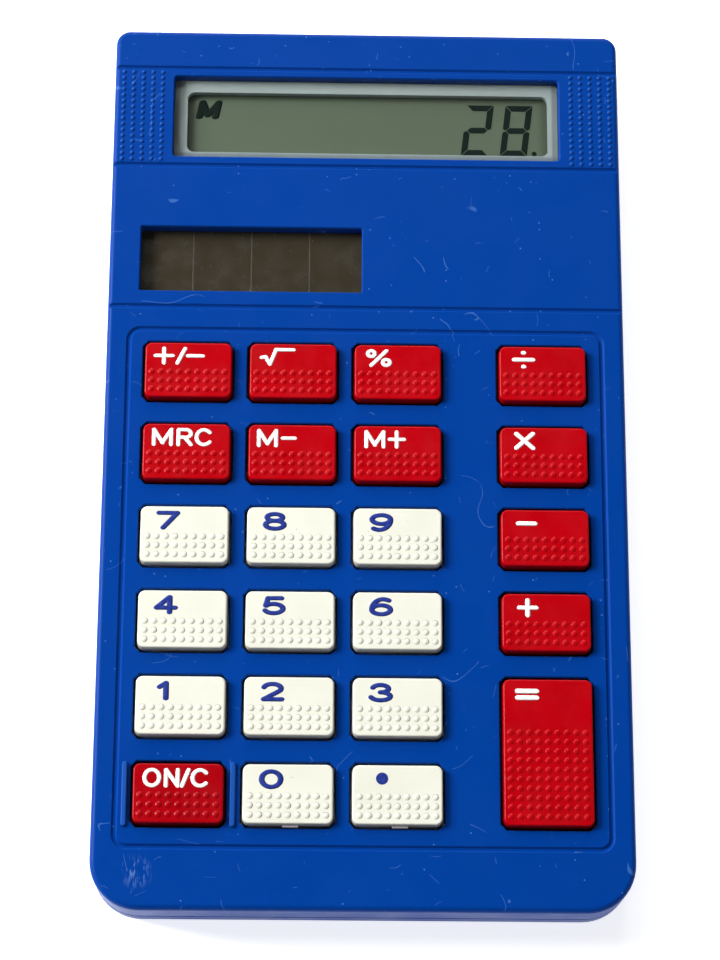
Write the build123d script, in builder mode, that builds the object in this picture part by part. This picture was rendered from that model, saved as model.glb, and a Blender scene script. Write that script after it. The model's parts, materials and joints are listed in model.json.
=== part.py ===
from build123d import *

import os
from math import radians, tan

# A solar pocket calculator with 23 moulded keys, lying on its back.
# Millimetres. X runs across the keys, Y towards the display end and Z up, out of
# the key face. The origin is the middle of the rear face, on the table.

# ---------------------------------------------------------------- case shells
body_width = 71.0  # side to side
body_length = 124.5  # hand end to display end
body_height = 10.4  # table to the key face
joint_height = 4.4  # table to the line where the two shells meet
wall = 1.6  # side walls of both shells
face = 1.8  # front face
back = 1.5  # rear floor
display_corner = 2.0  # the two corners at the display end
hand_corner = 6.5  # the two corners at the hand end
inner_corner = 0.6  # least radius of a corner inside the shells
face_edge_round = 0.75
back_edge_round = 1.8
parting_chamfer = 0.25  # shows the joint between the shells as a fine line
lip_height = 1.2  # tongue of the rear shell that goes inside the front one
lip_thickness = 0.8
fit = 0.1  # clearance between pieces that locate each other

# --------------------------------------------------------------- face grooves
groove_width = 0.8  # at the face
groove_floor = 0.3
groove_depth = 0.24
display_band_top = 5.85  # display end to the first groove across the face
display_band_bottom = 20.65
solar_band_bottom = 41.7  # display end to the groove between the solar cell and the keys
panel_side = 3.1  # side of the case to the groove around the keys
panel_top = 45.05  # display end to the groove around the keys
panel_bottom = 8.15  # hand end to the groove around the keys
panel_corner = 1.6

# ------------------------------------------------------------------------ keys
column_margin = 11.34  # side of the case to the middle of the outer columns
first_row_margin = 51.25  # display end to the middle of the first row
last_row_margin = 15.03  # hand end to the middle of the last row
operator_gap = 5.5  # extra room before the operator column
row_count = 6
key_gap_x = 2.53  # between the tops of neighbouring keys
key_gap_y = 3.88
key_proud = 0.95  # key top above the face
key_corner = 0.9
key_draft = 3.0  # degrees
key_edge_round = 0.22
key_wall = 1.1
opening_gap_x = 0.38  # key top to the edge of its opening
opening_gap_y = 0.5
opening_corner = 0.8
opening_edge = 0.15
key_travel = 0.9
flange_thickness = 0.8
flange_overlap = 0.65  # reach of the flange under the face, hand and display sides
flange_side_gap = 0.15  # flange to the edge of its opening, left and right
flange_corner = 0.8
rest_gap = 0.05  # flange to the underside of the face at rest
plunger_diameter = 3.6
guard_width = 0.7  # the two ribs beside the on key
guard_length = 8.5
guard_height = 0.4
guard_gap = 0.3  # rib to the broken edge of the opening

# -------------------------------------------- raised dots on keys and on grips
dot_diameter = 0.9
dot_height = 0.12
dot_pitch = 1.24
dot_side = 0.46  # least distance from the last dot's edge to the key's side
dot_foot = 1.12  # hand side of a key top to the middle of its first row of dots
dot_rows = 3
tall_dot_rows = 10
grip_dot_diameter = 0.62
grip_dot_height = 0.2
grip_pitch_x = 1.36
grip_pitch_y = 0.885
grip_columns = 5
grip_rows = 16
grip_centre = 4.0  # side of the case to the middle of a grip pad

# -------------------------------------------------------------- display window
display_margin = 8.4  # side of the case to the display opening
display_top = 7.0  # display end to the display opening
display_height = 12.25
display_opening_corner = 0.5
window_sink = 0.35  # window top below the face
frame_sink = 1.4  # top of the grey frame below the face
frame_left = 1.85  # width of the frame that shows
frame_right = 1.45
frame_top = 1.85
frame_bottom = 1.25
frame_corner = 1.0
frame_flange = 1.4  # reach of the frame under the face
frame_flange_thickness = 0.8
lcd_sink = 0.9  # display film below the top of the frame
film = 0.2  # polariser and reflector
pane = 1.1  # each glass of the display
glass_margin = 1.35  # glass beyond the frame's opening
contact_ledge = 2.2  # strip of the front glass that the rear glass leaves free
film_margin = 0.9  # films beyond the frame's opening
display_foam_thickness = 1.2
press_rib = 1.2  # the rear shell's two ribs behind the display
press_rib_spacing = 5.0
ribbon_thickness = 0.15
ribbon_width = 20.0
ribbon_right = 8.5  # right side of the case to the edge of the ribbon
ribbon_bond = 1.6  # length glued to the display's ledge
ribbon_board_bond = 2.6
ribbon_level = 3.2  # ledge to the first bend, and the bend to the board after it
ribbon_drop = 8.0
ribbon_bend = 2.5

# ------------------------------------------------------------------ solar cell
solar_margin = 4.3  # left side of the case to the solar opening
solar_width = 30.65
solar_top = 29.85  # display end to the solar opening
solar_height = 9.5
solar_corner = 0.25
solar_overlap = 0.8  # cell beyond its opening
solar_glass = 1.1
solar_foam_thickness = 1.2
solar_foam_end = 6.0  # bare glass at the right, where the leads are soldered
solar_post_diameter = 3.0  # also the props under the board
lead_diameter = 0.8  # over the insulation
bend_share = 0.45  # of the shorter run beside a bend that the bend takes up

# --------------------------------------------------------- board and membrane
board_thickness = 1.2
board_margin = 2.9  # side of the case to the board
board_top = 42.6  # display end to the board
board_bottom = 6.65  # hand end to the board
board_corner = 1.0
board_gap = 0.1  # board to the posts of the rear shell
membrane_thickness = 0.6
membrane_margin = 3.4
membrane_top = 45.75
membrane_bottom = 9.35
dome_foot_diameter = 7.0
dome_top_diameter = 4.8
dome_wall = 0.35
dome_roof = 0.8
pip_diameter = 3.0
contact_diameter = 4.4
contact_split = 0.4
contact_thickness = 0.05

# ----------------------------------------------------------- parts on the board
chip_diameter = 12.0
chip_height = 1.5
chip_edge_round = 1.35
part_lead = 0.5
disc_diameter = 4.2
disc_thickness = 1.6
disc_edge_round = 0.72
small_part_length = 3.6
small_part_diameter = 1.7
small_part_round = 0.34
lead_span = 7.5
can_diameter = 5.0
can_length = 11.0
can_round = 0.4
can_left = 12.5  # left side of the case to its closed end
can_floor_gap = 0.3
can_lead_gap = 2.0
can_lead_straight = 1.7  # can to the bend of its first lead
can_lead_rise = 4.8  # display side of the board to the end of the climb
can_lead_bend = 1.2

# --------------------------------------------------------------------- screws
boss_diameter = 4.6
tower_margin = 0.2  # the rear shell's towers beyond the bosses, all round
case_screw_diameter = 2.0
case_screw_length = 6.0
case_head_diameter = 3.7
case_head_height = 1.3
case_head_sink = 0.5  # screw head above the table
head_clearance = 0.25
screw_clearance = 0.15
slot_depth = 0.5  # cross recess in every screw head
slot_width = 0.5
slot_share = 0.6  # length of the recess over the head's diameter
head_round_share = 0.4  # rounding of the head over its height
upper_boss_side = 4.5  # side of the case to the four bosses of the display end
upper_boss_top = 4.75  # display end to the first pair of bosses
middle_boss_top = 25.25  # display end to the second pair
hand_boss_side = 11.5
hand_boss_bottom = 4.05
post_diameter = 2.4
post_from_edge = 1.5  # end of the board to its outer posts
post_left = 6.0  # left side of the case to the first post
post_middle = -12.0  # the second post of that end, across the case
post_right = 5.3
board_screw_diameter = 1.4
board_screw_length = 2.6
board_head_diameter = 2.6
board_head_height = 0.7

# -------------------------------------------------------------- worked-out sizes
left = -body_width / 2
right = body_width / 2
display_end = body_length / 2
hand_end = -body_length / 2
face_under = body_height - face
board_face = joint_height + board_thickness
flange_top = face_under - rest_gap
flange_bottom = flange_top - flange_thickness
key_top = body_height + key_proud

first_column = left + column_margin
last_column = right - column_margin
column_pitch = (last_column - first_column - operator_gap) / 3
first_row = display_end - first_row_margin
last_row = hand_end + last_row_margin
row_pitch = (first_row - last_row) / (row_count - 1)
key_width = column_pitch - key_gap_x
key_height = row_pitch - key_gap_y
tall_key_height = key_height + row_pitch
column_x = [first_column, first_column + column_pitch, first_column + 2 * column_pitch, last_column]
row_y = [first_row - row * row_pitch for row in range(row_count)]

# The keys, row by row from the display end; None is the upper half of the tall key.
key_names = [
    ["key_sign", "key_root", "key_percent", "key_divide"],
    ["key_memory_recall", "key_memory_minus", "key_memory_plus", "key_multiply"],
    ["key_7", "key_8", "key_9", "key_minus"],
    ["key_4", "key_5", "key_6", "key_plus"],
    ["key_1", "key_2", "key_3", None],
    ["key_on_clear", "key_0", "key_point", "key_equals"],
]
tall_key = "key_equals"
key_places = {
    name: (column_x[column], row_y[row])
    for row, names in enumerate(key_names)
    for column, name in enumerate(names)
    if name
}
key_places[tall_key] = (last_column, last_row + row_pitch / 2)
plain_places = [place for name, place in key_places.items() if name != tall_key]

display_width = body_width - 2 * display_margin
display_y = display_end - display_top - display_height / 2
frame_face = body_height - frame_sink
frame_foot = face_under - frame_flange_thickness
lcd_top = frame_face - lcd_sink
view_width = display_width - frame_left - frame_right
view_height = display_height - frame_top - frame_bottom
view_x = (frame_left - frame_right) / 2
view_y = display_y + (frame_bottom - frame_top) / 2
glass_width = view_width + 2 * glass_margin
glass_height = view_height + 2 * glass_margin + contact_ledge / 2
glass_y = view_y - contact_ledge / 4
glass_top = lcd_top - film
ledge_under = glass_top - pane
rear_glass_y = glass_y + contact_ledge / 2
reflector_top = ledge_under - pane
foam_top = reflector_top - film
foam_bottom = foam_top - display_foam_thickness

solar_x = left + solar_margin + solar_width / 2
solar_y = display_end - solar_top - solar_height / 2
cell_bottom = face_under - solar_glass
solar_foam_bottom = cell_bottom - solar_foam_thickness

boss_places = [
    (side * (body_width / 2 - inset), y)
    for inset, y in [
        (upper_boss_side, display_end - upper_boss_top),
        (upper_boss_side, display_end - middle_boss_top),
        (hand_boss_side, hand_end + hand_boss_bottom),
    ]
    for side in (-1, 1)
]
strip_x = (column_x[2] + column_x[3]) / 2  # the wide strip before the operator keys
board_top_y = display_end - board_top
board_bottom_y = hand_end + board_bottom
post_places = [
    (left + post_left, board_top_y - post_from_edge),
    (post_middle, board_top_y - post_from_edge),
    (right - post_right, board_top_y - post_from_edge),
    (strip_x, (row_y[1] + row_y[2]) / 2),
    (strip_x, (row_y[3] + row_y[4]) / 2),
    ((column_x[0] + column_x[1]) / 2, board_bottom_y + post_from_edge),
    (strip_x, board_bottom_y + post_from_edge),
]


def case_plan(inset):
    """The plan of the case, moved inwards all round by inset."""
    with BuildSketch() as plan:
        Rectangle(body_width - 2 * inset, body_length - 2 * inset)
        fillet(plan.vertices().group_by(Axis.Y)[0], max(hand_corner - inset, inner_corner))
        fillet(plan.vertices().group_by(Axis.Y)[-1], max(display_corner - inset, inner_corner))
    return plan.sketch


def dot_sphere(diameter, height):
    """Radius of the ball whose cap is a raised dot of this diameter and height."""
    return (diameter * diameter / 4 + height * height) / (2 * height)


outer_plan = case_plan(0)
inner_plan = case_plan(wall)
lip_plan = case_plan(wall + fit)
lip_inner_plan = case_plan(wall + fit + lip_thickness)

os.makedirs("parts", exist_ok=True)


def save(piece, name):
    """Label a finished piece and write it under its own name."""
    piece.label = name
    export_step(piece, f"parts/{name}.step")


# The front shell: one moulding with the key face, its openings and its grooves.
with BuildPart() as front_case:
    with BuildSketch(Plane.XY.offset(joint_height)):
        add(outer_plan)
    extrude(amount=body_height - joint_height)
    fillet(front_case.faces().sort_by(Axis.Z)[-1].edges(), face_edge_round)
    chamfer(front_case.faces().sort_by(Axis.Z)[0].edges(), parting_chamfer)
    with BuildSketch(Plane.XY.offset(joint_height)):
        add(inner_plan)
    extrude(amount=face_under - joint_height, mode=Mode.SUBTRACT)

    # Openings for the keys, the display and the solar cell, with their edges broken.
    with BuildSketch(Plane.XY.offset(body_height)) as key_openings:
        with Locations(*plain_places):
            Rectangle(key_width + 2 * opening_gap_x, key_height + 2 * opening_gap_y)
        with Locations(key_places[tall_key]):
            Rectangle(key_width + 2 * opening_gap_x, tall_key_height + 2 * opening_gap_y)
        chamfer(key_openings.vertices(), opening_corner)
    extrude(amount=-face, mode=Mode.SUBTRACT)
    with BuildSketch(Plane.XY.offset(body_height)):
        with Locations((0, display_y)):
            RectangleRounded(display_width, display_height, display_opening_corner)
        with Locations((solar_x, solar_y)):
            RectangleRounded(solar_width, solar_height, solar_corner)
    extrude(amount=-face, mode=Mode.SUBTRACT)
    key_face = front_case.faces().filter_by(Plane.XY).sort_by(Axis.Z)[-1]
    chamfer([edge for wire in key_face.inner_wires() for edge in wire.edges()], opening_edge)

    # Three grooves straight across, and one around the keys.
    groove_profile = [
        (-groove_width / 2, 0),
        (-groove_floor / 2, -groove_depth),
        (groove_floor / 2, -groove_depth),
        (groove_width / 2, 0),
        (groove_width / 2, groove_depth),
        (-groove_width / 2, groove_depth),
    ]
    with BuildSketch(Plane.YZ):
        for gap in (display_band_top, display_band_bottom, solar_band_bottom):
            with Locations((display_end - gap, body_height)):
                Polygon(*groove_profile, align=None)
    extrude(amount=body_width, both=True, mode=Mode.SUBTRACT)
    panel_x = body_width / 2 - panel_side
    panel_corners = [
        (-panel_x, hand_end + panel_bottom),
        (panel_x, hand_end + panel_bottom),
        (panel_x, display_end - panel_top),
        (-panel_x, display_end - panel_top),
    ]
    with BuildLine(Plane.XY.offset(body_height)) as panel_line:
        FilletPolyline(*panel_corners, radius=panel_corner, close=True)
    along = panel_line.line % 0
    groove_plane = Plane(panel_line.line @ 0, x_dir=Vector(0, 0, 1).cross(along), z_dir=along)
    with BuildSketch(groove_plane):
        Polygon(*groove_profile, align=None)
    sweep(path=panel_line.line, mode=Mode.SUBTRACT)

    # Raised dots on the two grips beside the display.
    grip_ball = dot_sphere(grip_dot_diameter, grip_dot_height)
    for side in (-1, 1):
        grip_x = side * (body_width / 2 - grip_centre)
        with Locations((grip_x, display_y, body_height + grip_dot_height - grip_ball)):
            with GridLocations(grip_pitch_x, grip_pitch_y, grip_columns, grip_rows):
                Sphere(grip_ball)

    # Two ribs that guard the on key against a knock.
    guard_x = key_width / 2 + opening_gap_x + opening_edge + guard_gap + guard_width / 2
    with BuildSketch(Plane.XY.offset(body_height)):
        with Locations((first_column - guard_x, last_row), (first_column + guard_x, last_row)):
            SlotOverall(guard_length, guard_width, rotation=90)
    extrude(amount=guard_height)
    fillet(front_case.faces().sort_by(Axis.Z)[-2:].edges(), guard_width / 4)

    # Screw bosses for the rear shell and posts for the board, with their pilot holes.
    with BuildSketch(Plane.XY.offset(joint_height)):
        with Locations(*boss_places):
            Circle(boss_diameter / 2)
    extrude(until=Until.NEXT)
    with BuildSketch(Plane.XY.offset(board_face)):
        with Locations(*post_places):
            Circle(post_diameter / 2)
    extrude(until=Until.NEXT)
    with BuildSketch(Plane.XY.offset(joint_height)):
        with Locations(*boss_places):
            Circle(case_screw_diameter / 2 + rest_gap)
    extrude(amount=face_under - joint_height - rest_gap, mode=Mode.SUBTRACT)
    with BuildSketch(Plane.XY.offset(board_face)):
        with Locations(*post_places):
            Circle(board_screw_diameter / 2 + rest_gap)
    extrude(amount=face_under - board_face - rest_gap, mode=Mode.SUBTRACT)
save(front_case.part, "front_case")

# The rear shell: a shallow tray whose tongue goes inside the front shell.
head_room = case_head_sink + case_head_height
with BuildPart() as rear_case:
    with BuildSketch():
        add(outer_plan)
    extrude(amount=joint_height)
    foot_edges = rear_case.faces().sort_by(Axis.Z)[0].edges()
    fillet(foot_edges, min(back_edge_round, display_corner - rest_gap))
    chamfer(rear_case.faces().sort_by(Axis.Z)[-1].edges(), parting_chamfer)
    with BuildSketch(Plane.XY.offset(back)):
        add(inner_plan)
    extrude(amount=joint_height - back, mode=Mode.SUBTRACT)
    with BuildSketch(Plane.XY.offset(back)):
        add(lip_plan)
        add(lip_inner_plan, mode=Mode.SUBTRACT)
        with Locations(*boss_places):
            Circle(boss_diameter / 2 + fit, mode=Mode.SUBTRACT)
    extrude(amount=joint_height + lip_height - back)
    with BuildSketch(Plane.XY.offset(back)):
        add(inner_plan)
        add(lip_plan, mode=Mode.SUBTRACT)
    extrude(amount=joint_height - parting_chamfer - back)

    # Towers for the case screws, ribs behind the display, posts behind the cell
    # and the board.
    with BuildSketch(Plane.XY.offset(back)):
        with Locations(*boss_places):
            Circle(boss_diameter / 2 + tower_margin)
    extrude(amount=joint_height - fit - back)
    with BuildSketch(Plane.XY.offset(back)):
        with Locations((view_x, view_y)):
            with GridLocations(1, press_rib_spacing, 1, 2):
                Rectangle(view_width - 2 * glass_margin, press_rib)
    extrude(amount=foam_bottom - back)
    with BuildSketch(Plane.XY.offset(back)):
        with Locations((solar_x - solar_width / 3, solar_y), (solar_x, solar_y)):
            Circle(solar_post_diameter / 2)
    extrude(amount=solar_foam_bottom - back)
    board_props = [
        ((column_x[0] + column_x[1]) / 2, (row_y[0] + row_y[1]) / 2),
        ((column_x[1] + column_x[2]) / 2, (row_y[4] + row_y[5]) / 2),
        (strip_x, row_y[0]),
        (strip_x, row_y[5]),
    ]
    with BuildSketch(Plane.XY.offset(back)):
        with Locations(*board_props):
            Circle(solar_post_diameter / 2)
    extrude(amount=joint_height - board_gap - back)
    with Locations(*[(x, y, 0) for x, y in boss_places]):
        Cylinder(
            case_head_diameter / 2 + head_clearance,
            head_room,
            align=(Align.CENTER, Align.CENTER, Align.MIN),
            mode=Mode.SUBTRACT,
        )
        Cylinder(
            case_screw_diameter / 2 + screw_clearance,
            joint_height,
            align=(Align.CENTER, Align.CENTER, Align.MIN),
            mode=Mode.SUBTRACT,
        )
save(rear_case.part, "rear_case")

# The grey frame behind the window: a rim in the display opening and a flange
# under the face, with a shallow seat for the glass.
with BuildPart() as display_frame:
    with BuildSketch(Plane.XY.offset(frame_foot)):
        with Locations((0, display_y)):
            Rectangle(display_width + 2 * frame_flange, display_height + 2 * frame_flange)
    extrude(amount=frame_flange_thickness)
    with BuildSketch(Plane.XY.offset(face_under)):
        with Locations((0, display_y)):
            RectangleRounded(
                display_width - 2 * fit, display_height - 2 * fit, display_opening_corner
            )
    extrude(amount=frame_face - face_under)
    with BuildSketch(Plane.XY.offset(frame_foot)):
        with Locations((view_x, view_y)):
            RectangleRounded(view_width, view_height, frame_corner)
    extrude(amount=frame_face - frame_foot, mode=Mode.SUBTRACT)
    with BuildSketch(Plane.XY.offset(frame_foot)):
        with Locations((view_x, glass_y)):
            Rectangle(glass_width + 2 * fit, glass_height + 2 * fit)
    extrude(amount=lcd_top - frame_foot, mode=Mode.SUBTRACT)
save(display_frame.part, "display_frame")

# The clear window, glued on the frame.
with BuildPart() as display_window:
    with BuildSketch(Plane.XY.offset(frame_face)):
        with Locations((0, display_y)):
            RectangleRounded(
                display_width - 2 * fit, display_height - 2 * fit, display_opening_corner
            )
    extrude(amount=frame_sink - window_sink)
    chamfer(display_window.faces().sort_by(Axis.Z)[-1].edges(), fit)
save(display_window.part, "display_window")

# The display: two panes with a contact ledge, a polariser and a reflector.
with BuildPart() as lcd_glass:
    with BuildSketch(Plane.XY.offset(ledge_under)):
        with Locations((view_x, glass_y)):
            Rectangle(glass_width, glass_height)
    extrude(amount=pane)
    with BuildSketch(Plane.XY.offset(reflector_top)):
        with Locations((view_x, rear_glass_y)):
            Rectangle(glass_width, glass_height - contact_ledge)
    extrude(amount=pane)
save(lcd_glass.part, "lcd_glass")

film_width = view_width + 2 * film_margin
film_height = view_height + 2 * film_margin
with BuildPart() as lcd_polariser:
    with BuildSketch(Plane.XY.offset(glass_top)):
        with Locations((view_x, view_y)):
            Rectangle(film_width, film_height)
    extrude(amount=film)
save(lcd_polariser.part, "lcd_polariser")

with BuildPart() as lcd_reflector:
    with BuildSketch(Plane.XY.offset(foam_top)):
        with Locations((view_x, rear_glass_y)):
            Rectangle(film_width, glass_height - contact_ledge - 2 * fit)
    extrude(amount=film)
save(lcd_reflector.part, "lcd_reflector")

# The foam strip that the rear shell's ribs press against the display.
with BuildPart() as lcd_foam:
    with BuildSketch(Plane.XY.offset(foam_bottom)):
        with Locations((view_x, rear_glass_y)):
            Rectangle(film_width, glass_height - contact_ledge - 2 * fit)
    extrude(amount=display_foam_thickness)
save(lcd_foam.part, "lcd_foam")

# The flat film lead from the display's ledge down to the board.
ledge_y = glass_y - glass_height / 2 + ribbon_bond
with BuildPart() as lcd_ribbon:
    with BuildSketch(Plane.YZ.offset(right - ribbon_right - ribbon_width)):
        with BuildLine() as ribbon_line:
            FilletPolyline(
                (ledge_y, ledge_under - ribbon_thickness / 2),
                (ledge_y - ribbon_level, ledge_under - ribbon_thickness / 2),
                (ledge_y - ribbon_drop, board_face + ribbon_thickness / 2),
                (board_top_y - ribbon_board_bond, board_face + ribbon_thickness / 2),
                radius=ribbon_bend,
            )
        trace(line_width=ribbon_thickness)
    extrude(amount=ribbon_width)
save(lcd_ribbon.part, "lcd_ribbon")

# The solar cell, a coated glass behind its opening, and the foam behind it.
cell_width = solar_width + 2 * solar_overlap
cell_height = solar_height + 2 * solar_overlap
with BuildPart() as solar_cell:
    with BuildSketch(Plane.XY.offset(cell_bottom)):
        with Locations((solar_x, solar_y)):
            Rectangle(cell_width, cell_height)
    extrude(amount=solar_glass)
save(solar_cell.part, "solar_cell")

with BuildPart() as solar_foam:
    with BuildSketch(Plane.XY.offset(solar_foam_bottom)):
        with Locations((solar_x - solar_foam_end / 2, solar_y)):
            Rectangle(cell_width - solar_foam_end, cell_height - 2 * solar_overlap)
    extrude(amount=solar_foam_thickness)
save(solar_foam.part, "solar_foam")

# The circuit board, screwed to the posts of the front shell.
with BuildPart() as main_board:
    with BuildSketch(Plane.XY.offset(joint_height)) as board_plan:
        with Locations((0, (board_top_y + board_bottom_y) / 2)):
            RectangleRounded(
                body_width - 2 * board_margin, board_top_y - board_bottom_y, board_corner
            )
        with Locations(*post_places):
            Circle(board_screw_diameter / 2 + screw_clearance, mode=Mode.SUBTRACT)
    extrude(amount=board_thickness)
save(main_board.part, "main_board")

# Carbon contacts on the board, a split disc under every dome.
with BuildPart() as key_contacts:
    with BuildSketch(Plane.XY.offset(board_face)):
        with Locations(*key_places.values()):
            Circle(contact_diameter / 2)
            Rectangle(contact_split, contact_diameter, mode=Mode.SUBTRACT)
    extrude(amount=contact_thickness)
save(key_contacts.part, "key_contacts")

# The rubber membrane: a sheet with a hollow dome and a contact pip for each key.
sheet_top = board_face + membrane_thickness
dome_height = flange_bottom - sheet_top
pip_height = dome_height + membrane_thickness - dome_roof - key_travel
dome_places = [(x, y, sheet_top) for x, y in key_places.values()]
with BuildPart() as key_membrane:
    with BuildSketch(Plane.XY.offset(board_face)) as sheet_plan:
        membrane_top_y = display_end - membrane_top
        membrane_bottom_y = hand_end + membrane_bottom
        with Locations((0, (membrane_top_y + membrane_bottom_y) / 2)):
            Rectangle(body_width - 2 * membrane_margin, membrane_top_y - membrane_bottom_y)
        with Locations(*post_places):
            Circle(post_diameter / 2 + 2 * fit, mode=Mode.SUBTRACT)
        with Locations(*key_places.values()):
            Circle(dome_foot_diameter / 2 - dome_wall, mode=Mode.SUBTRACT)
    extrude(amount=membrane_thickness)
    with Locations(*dome_places):
        Cone(
            dome_foot_diameter / 2,
            dome_top_diameter / 2,
            dome_height,
            align=(Align.CENTER, Align.CENTER, Align.MIN),
        )
        Cone(
            dome_foot_diameter / 2 - dome_wall,
            dome_top_diameter / 2 - dome_wall,
            dome_height - dome_roof,
            align=(Align.CENTER, Align.CENTER, Align.MIN),
            mode=Mode.SUBTRACT,
        )
    pip_bottom = flange_bottom - dome_roof - pip_height
    with Locations(*[(x, y, pip_bottom) for x, y in key_places.values()]):
        Cylinder(
            pip_diameter / 2,
            pip_height + rest_gap,
            align=(Align.CENTER, Align.CENTER, Align.MIN),
        )
save(key_membrane.part, "key_membrane")


def dotted_cap(height, rows):
    """A key cap for a top of this height, with this many rows of dots, at the middle."""
    pocket_width = key_width - 2 * key_wall
    pocket_height = height - 2 * key_wall
    columns = int((key_width - 2 * dot_side - dot_diameter) / dot_pitch + 1)
    rows = min(rows, int((height - dot_foot - dot_side) / dot_pitch + 1))
    ball = dot_sphere(dot_diameter, dot_height)
    with BuildPart() as cap:
        with BuildSketch(Plane.XY.offset(key_top)):
            RectangleRounded(key_width, height, key_corner)
        extrude(amount=flange_top - key_top, taper=-key_draft)
        fillet(cap.faces().sort_by(Axis.Z)[-1].edges(), key_edge_round)
        with BuildSketch(Plane.XY.offset(flange_bottom)):
            RectangleRounded(
                key_width + 2 * opening_gap_x - 2 * flange_side_gap,
                height + 2 * opening_gap_y + 2 * flange_overlap,
                flange_corner,
            )
        extrude(amount=flange_thickness)
        with BuildSketch(Plane.XY.offset(flange_bottom)):
            Rectangle(pocket_width, pocket_height)
            Circle(plunger_diameter / 2, mode=Mode.SUBTRACT)
        extrude(amount=key_top - key_wall - flange_bottom, mode=Mode.SUBTRACT)
        dots_y = -height / 2 + dot_foot + (rows - 1) * dot_pitch / 2
        with Locations((0, dots_y, key_top + dot_height - ball)):
            with GridLocations(dot_pitch, dot_pitch, columns, rows):
                Sphere(ball)
    return cap.part


# The key caps: one plain shape for 22 of them, and the tall one.
plain_cap = dotted_cap(key_height, dot_rows)
tall_cap = dotted_cap(tall_key_height, tall_dot_rows)
for name, (x, y) in key_places.items():
    cap_shape = tall_cap if name == tall_key else plain_cap
    save(cap_shape.moved(Location((x, y, 0))), name)

# The sealed chip under its drop of epoxy, on the back of the board.
chip_place = ((column_x[0] + column_x[1]) / 2, (row_y[2] + row_y[3]) / 2)
with BuildPart() as chip_drop:
    with BuildSketch(Plane.XY.offset(joint_height)):
        with Locations(chip_place):
            Circle(chip_diameter / 2)
    extrude(amount=-chip_height)
    fillet(chip_drop.faces().sort_by(Axis.Z)[0].edges(), chip_edge_round)
save(chip_drop.part, "chip_drop")

# A disc capacitor, a resistor and a diode lying flat on the back of the board.
disc_place = (column_x[2], (row_y[2] + row_y[3]) / 2)
with BuildPart() as disc_capacitor:
    with BuildSketch(Plane.XY.offset(joint_height - rest_gap)):
        with Locations(disc_place):
            Circle(disc_diameter / 2)
    extrude(amount=-disc_thickness)
    fillet(disc_capacitor.faces().filter_by(Plane.XY).edges(), disc_edge_round)
save(disc_capacitor.part, "disc_capacitor")


def axial_part(centre):
    """A small barrel lying along X under the board, with two leads turned up into it."""
    barrel_z = joint_height - rest_gap - small_part_diameter / 2
    with BuildPart() as barrel:
        with Locations(Location((*centre, barrel_z), (0, 90, 0))):
            Cylinder(small_part_diameter / 2, small_part_length)
        fillet(barrel.edges().filter_by(GeomType.CIRCLE), small_part_round)
        with Locations(Location((*centre, barrel_z), (0, 90, 0))):
            Cylinder(part_lead / 2, lead_span)
        for end in (-1, 1):
            with Locations((centre[0] + end * lead_span / 2, centre[1], barrel_z)):
                Cylinder(
                    part_lead / 2,
                    joint_height - barrel_z,
                    align=(Align.CENTER, Align.CENTER, Align.MIN),
                )
                Sphere(part_lead / 2)
    return barrel.part


save(axial_part((column_x[2], row_y[1])), "resistor")
save(axial_part((column_x[1], row_y[1])), "diode")

# The storage capacitor lies behind the band over the cell; its leads run to the board.
can_x = left + can_left
can_y = display_end - middle_boss_top
can_z = back + can_floor_gap + can_diameter / 2
can_lead_z = board_face + part_lead / 2
with BuildPart() as storage_capacitor:
    with BuildSketch(Plane.YZ.offset(can_x)):
        with Locations((can_y, can_z)):
            Circle(can_diameter / 2)
    extrude(amount=can_length)
    fillet(storage_capacitor.edges().filter_by(GeomType.CIRCLE), can_round)
    for step in (0, 1):
        lead_y = can_y + (step - 0.5) * can_lead_gap
        lead_x = can_x + can_length + can_lead_straight + step * can_lead_gap
        with BuildLine() as can_lead:
            FilletPolyline(
                (can_x + can_length - part_lead, lead_y, can_z),
                (lead_x, lead_y, can_z),
                (lead_x, board_top_y + can_lead_rise, can_lead_z),
                (lead_x, board_top_y - ribbon_board_bond / 2, can_lead_z),
                radius=can_lead_bend,
            )
        with BuildSketch(Plane(can_lead.line @ 0, z_dir=can_lead.line % 0)):
            Circle(part_lead / 2)
        sweep(path=can_lead.line)
save(storage_capacitor.part, "storage_capacitor")


# The two leads of the solar cell, soldered to its bare end and to the board.
def solar_lead(route, radii):
    """A thin insulated wire along straight runs joined by arcs."""
    with BuildPart() as lead:
        with BuildLine() as line:
            FilletPolyline(*route, radius=radii)
        with BuildSketch(Plane(line.line @ 0, z_dir=line.line % 0)):
            Circle(lead_diameter / 2)
        sweep(path=line.line)
    return lead.part


def route_radii(route):
    """For every corner, the radius whose bend takes up that share of the shorter run."""
    points = [Vector(*point) for point in route]
    radii = []
    for before, corner, after in zip(points, points[1:], points[2:]):
        run_in = corner - before
        run_out = after - corner
        half_turn = radians(run_in.get_angle(run_out) / 2)
        radii.append(bend_share * min(run_in.length, run_out.length) / tan(half_turn))
    return radii


cell_end = solar_x + cell_width / 2
lead_top = cell_bottom - lead_diameter / 2
lead_foot = board_face + lead_diameter / 2
lead_routes = {
    "solar_lead_red": [
        (cell_end - 3.2, solar_y + 2.2, lead_top),
        (cell_end + 0.4, solar_y + 2.6, lead_top - 0.3),
        (cell_end + 2.6, solar_y - 0.4, lead_top - 0.8),
        (cell_end + 2.4, solar_y - 4.4, lead_foot + 0.2),
        (cell_end + 1.0, board_top_y - 1.0, lead_foot),
    ],
    "solar_lead_black": [
        (cell_end - 5.0, solar_y + 0.2, lead_top),
        (cell_end - 1.8, solar_y - 0.6, lead_top - 0.4),
        (cell_end - 0.5, solar_y - 3.6, lead_top - 0.9),
        (cell_end - 1.4, board_top_y - 1.0, lead_foot),
    ],
}
for name, route in lead_routes.items():
    save(solar_lead(route, route_radii(route)), name)


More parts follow.
